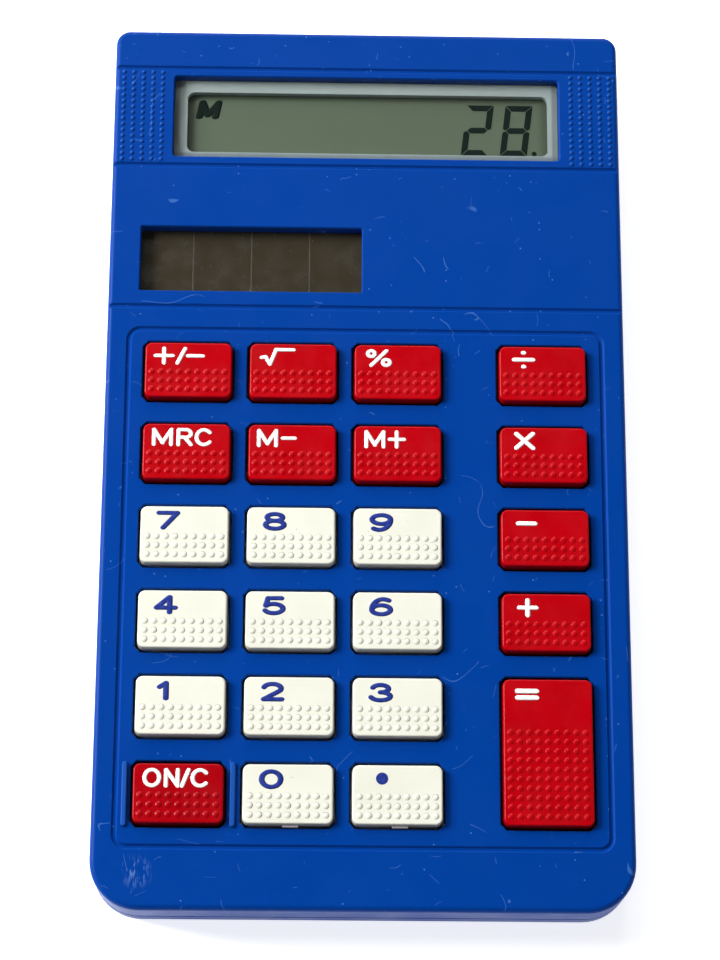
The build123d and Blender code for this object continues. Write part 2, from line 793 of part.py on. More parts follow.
def screw_set(places, under_head, shank, length, head, head_height):
    """Screws pointing up, with their heads below the height given, and a cross recess."""
    with BuildPart() as screws:
        with Locations(*[(x, y, under_head) for x, y in places]):
            Cylinder(shank / 2, length, align=(Align.CENTER, Align.CENTER, Align.MIN))
            Cylinder(head / 2, head_height, align=(Align.CENTER, Align.CENTER, Align.MAX))
        rims = screws.faces().filter_by(Plane.XY).group_by(Axis.Z)[0].edges()
        fillet(rims, head_height * head_round_share)
        with BuildSketch(Plane.XY.offset(under_head - head_height)):
            with Locations(*places):
                Rectangle(head * slot_share, slot_width)
                Rectangle(slot_width, head * slot_share)
        extrude(amount=slot_depth, mode=Mode.SUBTRACT)
    return screws.part


# Six screws hold the shells together, seven hold the board.
case_screws = screw_set(
    boss_places,
    head_room,
    case_screw_diameter,
    case_screw_length,
    case_head_diameter,
    case_head_height,
)
save(case_screws, "case_screws")
board_screws = screw_set(
    post_places,
    joint_height,
    board_screw_diameter,
    board_thickness + board_screw_length,
    board_head_diameter,
    board_head_height,
)
save(board_screws, "board_screws")
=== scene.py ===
import json
import math

import bpy
from mathutils import Matrix, Vector

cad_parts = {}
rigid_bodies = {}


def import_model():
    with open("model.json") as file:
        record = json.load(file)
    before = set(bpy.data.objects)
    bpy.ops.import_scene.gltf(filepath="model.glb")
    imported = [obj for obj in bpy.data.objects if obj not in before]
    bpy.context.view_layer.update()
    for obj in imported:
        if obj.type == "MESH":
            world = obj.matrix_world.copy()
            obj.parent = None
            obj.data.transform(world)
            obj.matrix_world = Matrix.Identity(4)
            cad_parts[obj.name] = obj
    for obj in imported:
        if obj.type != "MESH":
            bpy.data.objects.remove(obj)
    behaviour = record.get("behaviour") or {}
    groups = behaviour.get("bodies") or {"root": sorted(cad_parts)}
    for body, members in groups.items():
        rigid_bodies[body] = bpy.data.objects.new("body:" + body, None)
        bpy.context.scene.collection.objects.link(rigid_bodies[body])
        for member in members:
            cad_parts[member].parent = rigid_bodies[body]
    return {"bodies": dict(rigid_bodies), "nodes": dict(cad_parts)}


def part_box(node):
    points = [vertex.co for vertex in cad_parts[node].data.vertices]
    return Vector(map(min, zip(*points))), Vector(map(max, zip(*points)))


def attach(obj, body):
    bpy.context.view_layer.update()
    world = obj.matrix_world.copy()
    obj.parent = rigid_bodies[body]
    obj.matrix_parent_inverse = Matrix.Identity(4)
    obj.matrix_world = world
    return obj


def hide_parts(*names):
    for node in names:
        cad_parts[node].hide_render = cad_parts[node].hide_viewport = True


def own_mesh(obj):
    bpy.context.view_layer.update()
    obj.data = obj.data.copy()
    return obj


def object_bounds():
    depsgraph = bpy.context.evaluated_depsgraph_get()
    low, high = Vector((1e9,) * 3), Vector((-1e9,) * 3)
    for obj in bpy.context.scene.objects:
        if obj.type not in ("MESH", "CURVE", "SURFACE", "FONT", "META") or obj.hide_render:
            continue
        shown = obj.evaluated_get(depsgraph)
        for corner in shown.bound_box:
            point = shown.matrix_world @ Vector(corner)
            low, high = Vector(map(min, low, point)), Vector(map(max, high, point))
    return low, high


# A solar pocket calculator: two blue shells, a windowed display, a solar cell and
# 23 sprung keys, lying on its back. Metres, +Y towards the display end, +Z up.
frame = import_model()
cad_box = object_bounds()
nodes = frame["nodes"]
mm = 0.001
bpy.ops.object.select_all(action="DESELECT")

# ---------------------------------------------------------------- camera and stage
# The view from above the hand end, on a plain pale table under soft studio light
# that comes from the left and from behind the display end.
key_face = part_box("solar_cell")[1][2] + 1.8 * mm
camera_stand = Vector((-8.03 * mm, -111.71 * mm, key_face + 351.33 * mm))
bpy.ops.object.camera_add(location=camera_stand)
camera = bpy.context.object
camera.name = "camera"
camera.rotation_mode = "ZYX"
camera.rotation_euler = (0.297077, -0.0199846, 0.0109314)
camera.data.lens = 102.07
camera.data.sensor_width = 36.0
camera.data.clip_start = 0.01
bpy.context.scene.camera = camera

bpy.ops.mesh.primitive_plane_add(size=4.0)
table = bpy.context.object
table.name = "table"
table_paint = bpy.data.materials.new("pale_table")
table_paint.use_nodes = True
table_shader = table_paint.node_tree.nodes["Principled BSDF"]
table_shader.inputs["Base Color"].default_value = (0.95, 0.95, 0.95, 1)
table_shader.inputs["Roughness"].default_value = 0.8
table_shader.inputs["Emission Color"].default_value = (1, 1, 1, 1)
table_shader.inputs["Emission Strength"].default_value = 0.7
table.data.materials.append(table_paint)


def soft_lamp(name, place, aim, size, watts):
    """A square studio lamp that faces the point aim."""
    turn = (Vector(aim) - Vector(place)).to_track_quat("-Z", "Y").to_euler()
    bpy.ops.object.light_add(type="AREA", location=place, rotation=turn)
    lamp = bpy.context.object
    lamp.name = name
    lamp.data.size = size
    lamp.data.energy = watts


soft_lamp("key_lamp", (-0.8, 0.25, 0.55), (0, 0, 0), 0.4, 17)
soft_lamp("back_lamp", (-0.2, 0.95, 0.6), (0, 0, 0), 0.9, 10)
soft_lamp("fill_lamp", (0.8, -0.5, 0.6), (0, 0, 0), 0.8, 1.5)
sky = bpy.data.worlds.new("studio") if not bpy.context.scene.world else bpy.context.scene.world
bpy.context.scene.world = sky
sky.use_nodes = True
sky_nodes = sky.node_tree.nodes
sky_links = sky.node_tree.links
sky_height = sky_nodes.new("ShaderNodeSeparateXYZ")
sky_links.new(sky_nodes.new("ShaderNodeTexCoord").outputs["Generated"], sky_height.inputs[0])
sky_fade = sky_nodes.new("ShaderNodeMapRange")
sky_fade.interpolation_type = "SMOOTHSTEP"
for socket, value in (("From Min", 0.45), ("From Max", 0.88), ("To Min", 0.28), ("To Max", 0.02)):
    sky_fade.inputs[socket].default_value = value
sky_links.new(sky_height.outputs["Z"], sky_fade.inputs["Value"])
sky_links.new(sky_fade.outputs["Result"], sky_nodes["Background"].inputs["Strength"])
sky_nodes["Background"].inputs["Color"].default_value = (1, 1, 1, 1)
bpy.context.scene.view_settings.view_transform = "Standard"

# ------------------------------------------------------------------------ shells
# Front and rear shell: injection-moulded ABS in solid blue with a satin face. Years
# in a drawer have left dust specks, hair scratches and a scuffed corner.


class Finish:
    """One procedural material, with short calls for the nodes that it is made of."""

    def __init__(self, name, roughness=0.4, sheen=0.5):
        self.material = bpy.data.materials.new(name)
        self.material.use_nodes = True
        self.nodes = self.material.node_tree.nodes
        self.links = self.material.node_tree.links
        self.shader = self.nodes["Principled BSDF"]
        self.shader.inputs["Roughness"].default_value = roughness
        self.shader.inputs["Specular IOR Level"].default_value = sheen
        self.place = self.nodes.new("ShaderNodeTexCoord").outputs["Object"]

    def stretched(self, scale, turn=(0, 0, 0), shift=(0, 0, 0)):
        """The piece's own coordinates, scaled, turned and moved."""
        mapping = self.nodes.new("ShaderNodeMapping")
        mapping.inputs["Scale"].default_value = scale
        mapping.inputs["Rotation"].default_value = turn
        mapping.inputs["Location"].default_value = shift
        self.links.new(self.place, mapping.inputs["Vector"])
        return mapping.outputs["Vector"]

    def noise(self, size, detail=3.0, rough=0.55, vector=None, curl=0.0):
        """Noise from 0 to 1 whose blotches are about size metres across."""
        node = self.nodes.new("ShaderNodeTexNoise")
        node.inputs["Scale"].default_value = 1 / size
        node.inputs["Detail"].default_value = detail
        node.inputs["Roughness"].default_value = rough
        node.inputs["Distortion"].default_value = curl
        self.links.new(vector or self.place, node.inputs["Vector"])
        return node.outputs["Fac"]

    def cells(self, size, output="Distance", vector=None):
        """Scattered points about size metres apart: distance to the nearest, or its colour."""
        node = self.nodes.new("ShaderNodeTexVoronoi")
        node.inputs["Scale"].default_value = 1 / size
        self.links.new(vector or self.place, node.inputs["Vector"])
        return node.outputs[output]

    def ramp(self, value, start, end, low=0.0, high=1.0):
        """A value mapped smoothly from start..end to low..high."""
        node = self.nodes.new("ShaderNodeMapRange")
        node.interpolation_type = "SMOOTHSTEP"
        node.inputs["From Min"].default_value = start
        node.inputs["From Max"].default_value = end
        node.inputs["To Min"].default_value = low
        node.inputs["To Max"].default_value = high
        self.links.new(value, node.inputs["Value"])
        return node.outputs["Result"]

    def math(self, operation, a, b):
        """Arithmetic on two values, either of which may be a plain number."""
        node = self.nodes.new("ShaderNodeMath")
        node.operation = operation
        for socket, value in zip(node.inputs, (a, b)):
            if isinstance(value, (int, float)):
                socket.default_value = value
            else:
                self.links.new(value, socket)
        return node.outputs[0]

    def axis(self, letter, source=None):
        """One coordinate of a point on the piece."""
        node = self.nodes.new("ShaderNodeSeparateXYZ")
        self.links.new(source or self.place, node.inputs[0])
        return node.outputs[letter]

    def colour(self, share, first, second):
        """From the first colour to the second, by share; a colour may be a node's output."""
        node = self.nodes.new("ShaderNodeMix")
        node.data_type = "RGBA"
        self.links.new(share, node.inputs["Factor"])
        for socket, value in ((node.inputs[6], first), (node.inputs[7], second)):
            if isinstance(value, tuple):
                socket.default_value = (*value, 1)
            else:
                self.links.new(value, socket)
        return node.outputs[2]

    def paint(self, colour):
        self.links.new(colour, self.shader.inputs["Base Color"])

    def roughen(self, value):
        self.links.new(value, self.shader.inputs["Roughness"])

    def bump(self, height, depth, strength=1.0):
        """Surface relief: height from 0 to 1 over depth metres."""
        node = self.nodes.new("ShaderNodeBump")
        node.inputs["Strength"].default_value = strength
        node.inputs["Distance"].default_value = depth
        self.links.new(height, node.inputs["Height"])
        self.links.new(node.outputs["Normal"], self.shader.inputs["Normal"])

    def upright(self):
        """How far the surface leans from facing straight up: 0 flat, 1 a wall."""
        node = self.nodes.new("ShaderNodeTexCoord")
        return self.math("SUBTRACT", 1.0, self.math("ABSOLUTE", self.axis("Z", node.outputs["Normal"]), 0.0))

    def dust(self, size, radius, share):
        """Specks scattered size apart; share of them show, each about radius cells wide."""
        near = self.ramp(self.cells(size), radius * 0.4, radius, 1.0, 0.0)
        chosen = self.axis("X", self.cells(size, "Color"))
        return self.math("MULTIPLY", near, self.math("LESS_THAN", chosen, share))

    def scratches(self, length, width, turn, least):
        """Hair-thin marks, about length by width, lying at the angle turn."""
        vector = self.stretched((1 / length, 1 / width, 1 / length), (0, 0, turn))
        return self.ramp(self.noise(1.0, 2.0, 0.6, vector, 0.35), least, least + 0.03)


def hairs(skin, size, width, least):
    """Short curved hair marks: level lines of a soft noise, broken up by a second noise."""
    level = skin.math("ABSOLUTE", skin.math("SUBTRACT", skin.noise(size, 0.0), 0.5), 0.0)
    allowed = skin.noise(size * 0.7, 1.0, 0.5, skin.stretched((1, 1, 1), (0, 0, 0.7), (0.3, 0.2, 0.1)))
    line = skin.ramp(level, width * 0.4, width, 1.0, 0.0)
    return skin.math("MULTIPLY", line, skin.ramp(allowed, least, least + 0.02))


scuff_place = (-29.4 * mm, -57.4 * mm)


def shell_plastic(name):
    """Blue ABS, with dust, hair marks, a scuff by the hand-end corner, and painted highlights on its walls,
    edge rounds and whatever stands proud of the face.
    """
    skin = Finish(name, 0.42, 0.06)
    body = skin.colour(skin.noise(18 * mm), (0.000, 0.035, 0.235), (0.000, 0.042, 0.27))
    body = skin.colour(skin.ramp(skin.noise(1.2 * mm), 0.3, 0.7), body, (0.000, 0.039, 0.26))
    # Painted highlight: walls and edge rounds are made paler than the flat face.
    edge = skin.math("MULTIPLY", skin.ramp(skin.upright(), 0.08, 0.6), 0.06)
    body = skin.colour(edge, body, (0.05, 0.17, 0.52))
    # Painted highlight: whatever stands proud of the face, the grip dots and the ribs, is made paler.
    raised_highlight = skin.ramp(skin.axis("Z"), key_face + 0.03 * mm, key_face + 0.15 * mm, 0.0, 0.3)
    body = skin.colour(raised_highlight, body, (0.03, 0.14, 0.5))
    specks = skin.math("MULTIPLY", skin.dust(1.5 * mm, 0.09, 0.4), 0.45)
    body = skin.colour(specks, body, (0.16, 0.33, 0.72))
    marks = skin.math("MAXIMUM", hairs(skin, 7 * mm, 0.0045, 0.62), hairs(skin, 3.1 * mm, 0.008, 0.65))
    body = skin.colour(skin.math("MULTIPLY", marks, 0.3), body, (0.1, 0.25, 0.6))
    scuff_x = skin.math("SUBTRACT", skin.axis("X"), scuff_place[0])
    scuff_y = skin.math("SUBTRACT", skin.axis("Y"), scuff_place[1])
    reach = skin.math(
        "SQRT",
        skin.math(
            "ADD", skin.math("MULTIPLY", scuff_x, scuff_x), skin.math("MULTIPLY", scuff_y, scuff_y)
        ),
        0.0,
    )
    near = skin.ramp(reach, 0.4 * mm, 2.6 * mm, 1.0, 0.0)
    streak = skin.noise(
        1.0, 2.0, 0.6, skin.stretched((1 / (0.35 * mm), 1 / (1.6 * mm), 1 / mm), (0, 0, 0.35))
    )
    scuff = skin.math("MULTIPLY", near, skin.ramp(streak, 0.5, 0.62))
    body = skin.colour(skin.math("MULTIPLY", scuff, 0.4), body, (0.16, 0.3, 0.6))
    skin.paint(body)
    wear = skin.ramp(skin.noise(9 * mm), 0.3, 0.7, 0.33, 0.43)
    skin.roughen(skin.math("MAXIMUM", wear, skin.math("MULTIPLY", scuff, 0.6)))
    skin.bump(skin.noise(0.16 * mm, 2.0), 0.02 * mm, 0.35)
    return skin.material


def coat_node(name, material):
    """Give a CAD piece its material."""
    piece = nodes[name]
    piece.data.materials.clear()
    piece.data.materials.append(material)


blue_shell = shell_plastic("blue_shell")
coat_node("front_case", blue_shell)
coat_node("rear_case", blue_shell)

# ------------------------------------------------------------------------- keys
# Key caps: solid-colour ABS, red for functions and white for numbers, each with rows
# of moulded dots. Ink legends are pad-printed at the upper left of every cap.
dot_height = 0.12 * mm
key_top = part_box("key_7")[1][2] - dot_height


def cap_plastic(name, base, deep, grime_and_shade, grime_and_shade_share, dirt):
    """Key plastic with dirt and painted shade round the foot of each dot, painted shade on the cap walls, and
    specks of dirt.
    """
    skin = Finish(name, 0.34, 0.12)
    body = skin.colour(skin.ramp(skin.noise(5 * mm), 0.25, 0.75), base, deep)
    # Round the foot of each dot: dirt, and painted shade on the sides that face right and towards the display
    # end, the shaded side of each dot.
    height = skin.math("SUBTRACT", skin.axis("Z"), key_top)
    foot = skin.math(
        "MULTIPLY",
        skin.ramp(height, 0.001 * mm, 0.012 * mm),
        skin.ramp(height, 0.03 * mm, 0.065 * mm, 1.0, 0.0),
    )
    patchy = skin.ramp(skin.noise(1.6 * mm), 0.3, 0.65, 0.35, 1.0)
    facing = skin.nodes.new("ShaderNodeTexCoord").outputs["Normal"]
    tilt = skin.math("ADD", skin.axis("X", facing), skin.axis("Y", facing))
    away = skin.ramp(tilt, -0.7, 0.1, 0.25, 1.0)
    dot_foot_grime_and_shade = skin.math("MULTIPLY", foot, skin.math("MULTIPLY", patchy, away))
    stain_and_shade = skin.math("MULTIPLY", dot_foot_grime_and_shade, grime_and_shade_share)
    body = skin.colour(stain_and_shade, body, grime_and_shade)
    # Painted shade: the cap's walls are darkened, as if shaded down in the gap round the key.
    wall = skin.ramp(skin.upright(), 0.35, 0.8, 0.0, 0.22)
    body = skin.colour(wall, body, grime_and_shade)
    specks = skin.math("MULTIPLY", skin.dust(2.6 * mm, 0.075, 0.4), dirt)
    body = skin.colour(specks, body, (0.03, 0.028, 0.025))
    smear = skin.scratches(1.4 * mm, 0.22 * mm, 1.0, 0.75)
    body = skin.colour(skin.math("MULTIPLY", smear, dirt), body, (0.06, 0.055, 0.05))
    skin.paint(body)
    skin.roughen(skin.ramp(skin.noise(4 * mm), 0.3, 0.7, 0.26, 0.42))
    skin.bump(skin.noise(0.2 * mm, 2.0), 0.015 * mm, 0.25)
    return skin.material


# Each cap: two tones of its plastic, the dark tone of dirt and painted shade for the dot feet and walls, how
# much of it shows at the dots, and how much dirt.
red_cap = cap_plastic("red_cap", (0.415, 0.0, 0.004), (0.37, 0.0, 0.003), (0.28, 0.0, 0.002), 0.2, 0.25)
dark_red_cap = cap_plastic(
    "dark_red_cap", (0.365, 0.0, 0.004), (0.3, 0.0, 0.003), (0.15, 0.0, 0.002), 0.4, 0.3
)
white_cap = cap_plastic(
    "white_cap", (0.71, 0.71, 0.62), (0.675, 0.675, 0.58), (0.24, 0.235, 0.19), 1.0, 0.9
)


gate_skin = Finish("gate_plastic", 0.45)
gate_skin.paint(gate_skin.colour(gate_skin.noise(0.4 * mm), (0.5, 0.46, 0.5), (0.62, 0.58, 0.6)))
gate_skin.roughen(gate_skin.ramp(gate_skin.noise(0.6 * mm), 0.3, 0.7, 0.4, 0.55))
gate_plastic = gate_skin.material


def ink(name, colour, worn):
    """Printing ink, slightly uneven and a little worn away."""
    skin = Finish(name, 0.5, 0.2)
    skin.paint(skin.colour(skin.ramp(skin.noise(0.5 * mm, 4.0), 0.35, 0.75), colour, worn))
    skin.roughen(skin.ramp(skin.noise(0.7 * mm), 0.3, 0.7, 0.4, 0.6))
    skin.bump(skin.noise(0.12 * mm, 2.0), 0.01 * mm, 0.3)
    return skin.material


white_ink = ink("white_ink", (0.9, 0.9, 0.88), (0.82, 0.8, 0.78))
blue_ink = ink("blue_ink", (0.006, 0.02, 0.19), (0.02, 0.04, 0.24))


def arc(x, y, across, up, start, end, steps=18):
    """Points along an ellipse about x, y from one angle to another, in degrees."""
    angles = [math.radians(start + (end - start) * i / steps) for i in range(steps + 1)]
    return [(x + across * math.cos(a), y + up * math.sin(a)) for a in angles]


def ring(x, y, across, up, steps=28):
    """A closed ellipse; its last point isn't repeated."""
    return arc(x, y, across, up, 0, 360, steps)[:-1]


# Each character is a list of strokes in a box one unit wide and high. A stroke whose
# first entry is None is closed.
strokes = {
    "0": [[None] + ring(0.5, 0.5, 0.5, 0.5)],
    "1": [[(0.28, 0.74), (0.62, 1)], [(0.62, 1), (0.62, 0)]],
    "2": [arc(0.5, 0.71, 0.46, 0.29, 165, -30) + [(0.04, 0.0)], [(0.04, 0), (1, 0)]],
    "3": [arc(0.48, 0.76, 0.42, 0.24, 165, -90), arc(0.48, 0.26, 0.52, 0.26, 90, -165)],
    "4": [[(0.68, 1), (0, 0.3)], [(0, 0.3), (1, 0.3)], [(0.7, 1), (0.7, 0)]],
    "5": [[(0.92, 1), (0.2, 1)], [(0.2, 1), (0.08, 0.5)], arc(0.5, 0.31, 0.5, 0.31, 142, -155)],
    "6": [[None] + ring(0.5, 0.3, 0.5, 0.3), arc(0.62, 0.3, 0.62, 0.7, 180, 62)],
    "7": [[(0, 1), (1, 1)], [(1, 1), (0.24, 0)]],
    "8": [[None] + ring(0.5, 0.77, 0.42, 0.23), [None] + ring(0.5, 0.27, 0.5, 0.27)],
    "9": [[None] + ring(0.5, 0.7, 0.5, 0.3), arc(0.38, 0.7, 0.62, 0.7, 0, -118)],
    "+": [[(0, 0.5), (1, 0.5)], [(0.5, 1), (0.5, 0)]],
    "-": [[(0, 0.5), (1, 0.5)]],
    "x": [[(0, 0), (1, 1)], [(0, 1), (1, 0)]],
    "/": [[(0, 0), (1, 1)]],
    "=": [[(0, 0.66), (1, 0.66)], [(0, 0.2), (1, 0.2)]],
    "divide": [[(0, 0.5), (1, 0.5)], [(0.49, 1), (0.51, 1)], [(0.49, 0), (0.51, 0)]],
    "percent": [
        [(0.16, 0), (0.84, 1)],
        [None] + ring(0.16, 0.8, 0.16, 0.2, 14),
        [None] + ring(0.84, 0.2, 0.16, 0.2, 14),
    ],
    "root": [[(0, 0.45), (0.12, 0.5)], [(0.12, 0.5), (0.26, 0)], [(0.26, 0), (0.45, 1)], [(0.45, 1), (1, 1)]],
    "M": [[(0, 0), (0, 1)], [(0, 1), (0.5, 0.12)], [(0.5, 0.12), (1, 1)], [(1, 1), (1, 0)]],
    "R": [
        [(0, 0), (0, 1)],
        [(0, 1), (0.58, 1)],
        arc(0.58, 0.74, 0.4, 0.26, 90, -90),
        [(0.58, 0.48), (0, 0.48)],
        [(0.5, 0.48), (0.98, 0)],
    ],
    "C": [arc(0.52, 0.5, 0.52, 0.5, 42, 318, 26)],
    "O": [[None] + ring(0.5, 0.5, 0.5, 0.5)],
    "N": [[(0, 0), (0, 1)], [(0, 1), (1, 0)], [(1, 0), (1, 1)]],
}
ink_thickness = 0.03 * mm
stroke_lift = 0.0015 * mm


def rounded_ends(points, radius):
    """The stroke's points with its ends drawn out to half-round tips: (x, y, share of width)."""
    tips = [(0.0, 0.05), (0.14, 0.51), (0.4, 0.8), (0.7, 0.954)]
    first, second = Vector(points[0]), Vector(points[1])
    last, before = Vector(points[-1]), Vector(points[-2])
    out_start = (first - second).normalized()
    out_end = (last - before).normalized()
    path = [(*(first + out_start * radius * (1 - along)), wide) for along, wide in tips]
    path += [(*point, 1.0) for point in points]
    path += [(*(last + out_end * radius * (1 - along)), wide) for along, wide in reversed(tips)]
    return path


def printed(name, glyphs, line, stretch, corner, height, body, material):
    """Ink characters in one mesh. glyphs is (character, x, width), from the corner given.

    Upright strokes are stretch times as wide as level ones, and each stroke lies a
    little above the one before, so no two faces share a plane."""
    bpy.ops.object.select_all(action="DESELECT")
    bpy.ops.object.add(type="CURVE")
    piece = bpy.context.object
    piece.name = name
    shape = piece.data
    shape.dimensions = "3D"
    shape.bevel_depth = line / 2
    shape.bevel_resolution = 1
    shape.use_fill_caps = True
    radius = line / 2
    level = 0.0
    for character, left, width in glyphs:
        left, width = left / stretch, width / stretch
        for stroke in strokes[character]:
            closed = stroke[0] is None
            level += stroke_lift * line / ink_thickness
            points = [
                (left + radius + x * (width - line), -height + radius + y * (height - line))
                for x, y in (stroke[1:] if closed else stroke)
            ]
            path = [(*p, 1.0) for p in points] if closed else rounded_ends(points, radius)
            spline = shape.splines.new("POLY")
            spline.points.add(len(path) - 1)
            spline.use_cyclic_u = closed
            for target, (x, y, wide) in zip(spline.points, path):
                target.co = (x, y, level, 1)
                target.radius = wide
    bpy.ops.object.convert(target="MESH")
    piece = bpy.context.object
    flat = Matrix.Diagonal((stretch, 1, ink_thickness / line, 1))
    piece.data.transform(Matrix.Translation(corner) @ flat)
    piece.data.materials.clear()
    piece.data.materials.append(material)
    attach(piece, body)
    return piece


# Legends as (character, x, width) in millimetres from the cap's left side.
digit_x = 2.05
digit_width = 3.25
digit_rise, sign_rise = 2.65, 2.6
digit_line, sign_line = 0.6, 0.52
digits = [f"key_{number}" for number in range(10)]
legends = {
    "key_sign": [("+", 1.1, 2.9), ("/", 4.1, 1.6), ("-", 5.5, 2.6)],
    "key_root": [("root", 1.3, 4.9)],
    "key_percent": [("percent", 1.5, 3.6)],
    "key_divide": [("divide", 1.7, 3.2)],
    "key_memory_recall": [("M", 1.2, 2.9), ("R", 4.5, 2.3), ("C", 6.95, 2.5)],
    "key_memory_minus": [("M", 1.1, 2.9), ("-", 4.3, 2.2)],
    "key_memory_plus": [("M", 1.35, 2.9), ("+", 4.5, 2.5)],
    "key_multiply": [("x", 1.85, 2.9)],
    "key_minus": [("-", 1.95, 2.9)],
    "key_plus": [("+", 1.95, 2.9)],
    "key_equals": [("=", 1.55, 3.2)],
    "key_on_clear": [("O", 1.2, 2.5), ("N", 4.0, 2.1), ("/", 6.1, 1.4), ("C", 7.45, 2.5)],
}
for key in digits:
    legends[key] = [(key[-1], digit_x, digit_width)]
bold = {"key_equals": 0.68, "key_minus": 0.62, "key_plus": 0.6, "key_multiply": 0.6, "key_divide": 0.6}
# The cap's visible foot is smaller than the key's box, which takes in the flange.
cap_width = 11.75 * mm
cap_depth = 7.74 * mm
seven_low, seven_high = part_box("key_7")
cap_side = (seven_high[0] - seven_low[0]) / 2 - cap_width / 2
cap_foot = (seven_high[1] - seven_low[1]) / 2 - cap_depth / 2
for key, glyphs in legends.items():
    low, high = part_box(key)
    white = key in digits
    drop = 0.63 if white else 0.59
    corner = (low[0] + cap_side, high[1] - cap_foot - drop * mm, key_top + 0.006 * mm)
    printed(
        "legend_" + key[4:],
        [(character, x * mm, width * mm) for character, x, width in glyphs],
        (digit_line if white else bold.get(key, sign_line)) * mm,
        1.3 if white else 1.12,
        corner,
        (digit_rise if white else sign_rise) * mm,
        key,
        blue_ink if white else white_ink,
    )



def soften(piece, width):
    """Break every edge of a piece with a small round."""
    bpy.ops.object.select_all(action="DESELECT")
    piece.select_set(True)
    bpy.context.view_layer.objects.active = piece
    bpy.ops.object.mode_set(mode="EDIT")
    bpy.ops.mesh.select_mode(type="EDGE")
    bpy.ops.mesh.select_all(action="SELECT")
    bpy.ops.mesh.bevel(offset=width, segments=2, affect="EDGES")
    bpy.ops.object.mode_set(mode="OBJECT")


# The point key's legend is a round blot of the same ink.
blot_x = 3.85 * mm
blot_drop = 1.75 * mm
point_low, point_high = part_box("key_point")
blot_place = (
    point_low[0] + cap_side + blot_x,
    point_high[1] - cap_foot - blot_drop,
    key_top + 0.01 * mm,
)
bpy.ops.mesh.primitive_cylinder_add(
    vertices=40, radius=0.8 * mm, depth=ink_thickness, location=blot_place
)
blot = bpy.context.object
blot.name = "legend_point"
bpy.ops.object.transform_apply(location=True, rotation=True, scale=True)
soften(blot, ink_thickness * 0.35)
blot.data.materials.append(blue_ink)
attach(blot, "key_point")

# Remnants of the moulding gates, proud of the hand-end foot of two white caps.
gate_size = (2.1 * mm, 0.4 * mm, 0.3 * mm)
gate_offset = 0.35 * mm
gate_reach = 0.18 * mm
gate_rise = 0.12 * mm
bpy.ops.mesh.primitive_cube_add(size=1, scale=gate_size)
gate_pattern = bpy.context.object
bpy.ops.object.transform_apply(location=True, rotation=True, scale=True)
soften(gate_pattern, 0.08 * mm)
gate_pattern.data.materials.append(gate_plastic)
for key in ("key_0", "key_point"):
    low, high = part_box(key)
    gate = gate_pattern.copy()
    gate.data = gate_pattern.data.copy()
    gate.name = "gate_" + key[4:]
    bpy.context.collection.objects.link(gate)
    gate_x = (low[0] + high[0]) / 2 + gate_offset
    gate_y = low[1] + cap_foot - gate_reach
    gate.data.transform(Matrix.Translation((gate_x, gate_y, key_face + gate_rise)))
    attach(gate, key)
bpy.data.objects.remove(gate_pattern)

for key in legends:
    coat_node(key, white_cap if key in digits else red_cap)
coat_node("key_on_clear", dark_red_cap)
coat_node("key_point", white_cap)

# --------------------------------------------------------------------- display
# Clear acrylic window over a satin grey frame; under it the display: a grey-green
# polariser on glass, with its dark segments printed by the liquid crystal.
clear = Finish("clear_window")
clear_nodes = clear.nodes
clear_links = clear.links
clear_nodes.remove(clear.shader)
see_through = clear_nodes.new("ShaderNodeBsdfTransparent")
see_through.inputs["Color"].default_value = (0.97, 0.98, 0.97, 1)
shine = clear_nodes.new("ShaderNodeBsdfGlossy")
clear_links.new(clear.ramp(clear.noise(6 * mm), 0.3, 0.7, 0.05, 0.09), shine.inputs["Roughness"])
facing = clear_nodes.new("ShaderNodeLayerWeight")
facing.inputs["Blend"].default_value = 0.5
grazing = clear_nodes.new("ShaderNodeMath")
grazing.operation = "POWER"
grazing.inputs[1].default_value = 5.0
clear_links.new(facing.outputs["Facing"], grazing.inputs[0])
mirrored = clear_nodes.new("ShaderNodeMath")
mirrored.operation = "MULTIPLY_ADD"
mirrored.inputs[1].default_value = 0.45
mirrored.inputs[2].default_value = 0.03
clear_links.new(grazing.outputs[0], mirrored.inputs[0])
pane_mix = clear_nodes.new("ShaderNodeMixShader")
clear_links.new(mirrored.outputs[0], pane_mix.inputs[0])
clear_links.new(see_through.outputs[0], pane_mix.inputs[1])
clear_links.new(shine.outputs[0], pane_mix.inputs[2])
clear_links.new(pane_mix.outputs[0], clear_nodes["Material Output"].inputs["Surface"])
coat_node("display_window", clear.material)

frame_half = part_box("display_window")[1][0]
frame_skin = Finish("grey_frame", 0.42)
frame_tone = frame_skin.colour(frame_skin.noise(6 * mm), (0.28, 0.33, 0.33), (0.34, 0.395, 0.39))
frame_specks = frame_skin.math("MULTIPLY", frame_skin.dust(1.3 * mm, 0.1, 0.4), 0.4)
frame_tone = frame_skin.colour(frame_specks, frame_tone, (0.09, 0.1, 0.1))
# Painted shade: darker strips along the frame's left and right sides.
strip = frame_skin.ramp(
    frame_skin.math("ABSOLUTE", frame_skin.axis("X"), 0.0), frame_half - 0.95 * mm, frame_half - 0.6 * mm
)
frame_tone = frame_skin.colour(strip, frame_tone, (0.18, 0.21, 0.205))
frame_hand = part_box("display_window")[0][1]
# Painted shade: the frame's hand-end bar is darkened.
hand_bar_shade = frame_skin.ramp(frame_skin.axis("Y"), frame_hand + 0.7 * mm, frame_hand + 1.3 * mm, 0.7, 0.0)
frame_skin.paint(frame_skin.colour(hand_bar_shade, frame_tone, (0.1, 0.13, 0.16)))
frame_skin.roughen(frame_skin.ramp(frame_skin.noise(2 * mm), 0.3, 0.7, 0.36, 0.5))
frame_skin.bump(frame_skin.noise(0.2 * mm), 0.01 * mm, 0.3)
coat_node("display_frame", frame_skin.material)

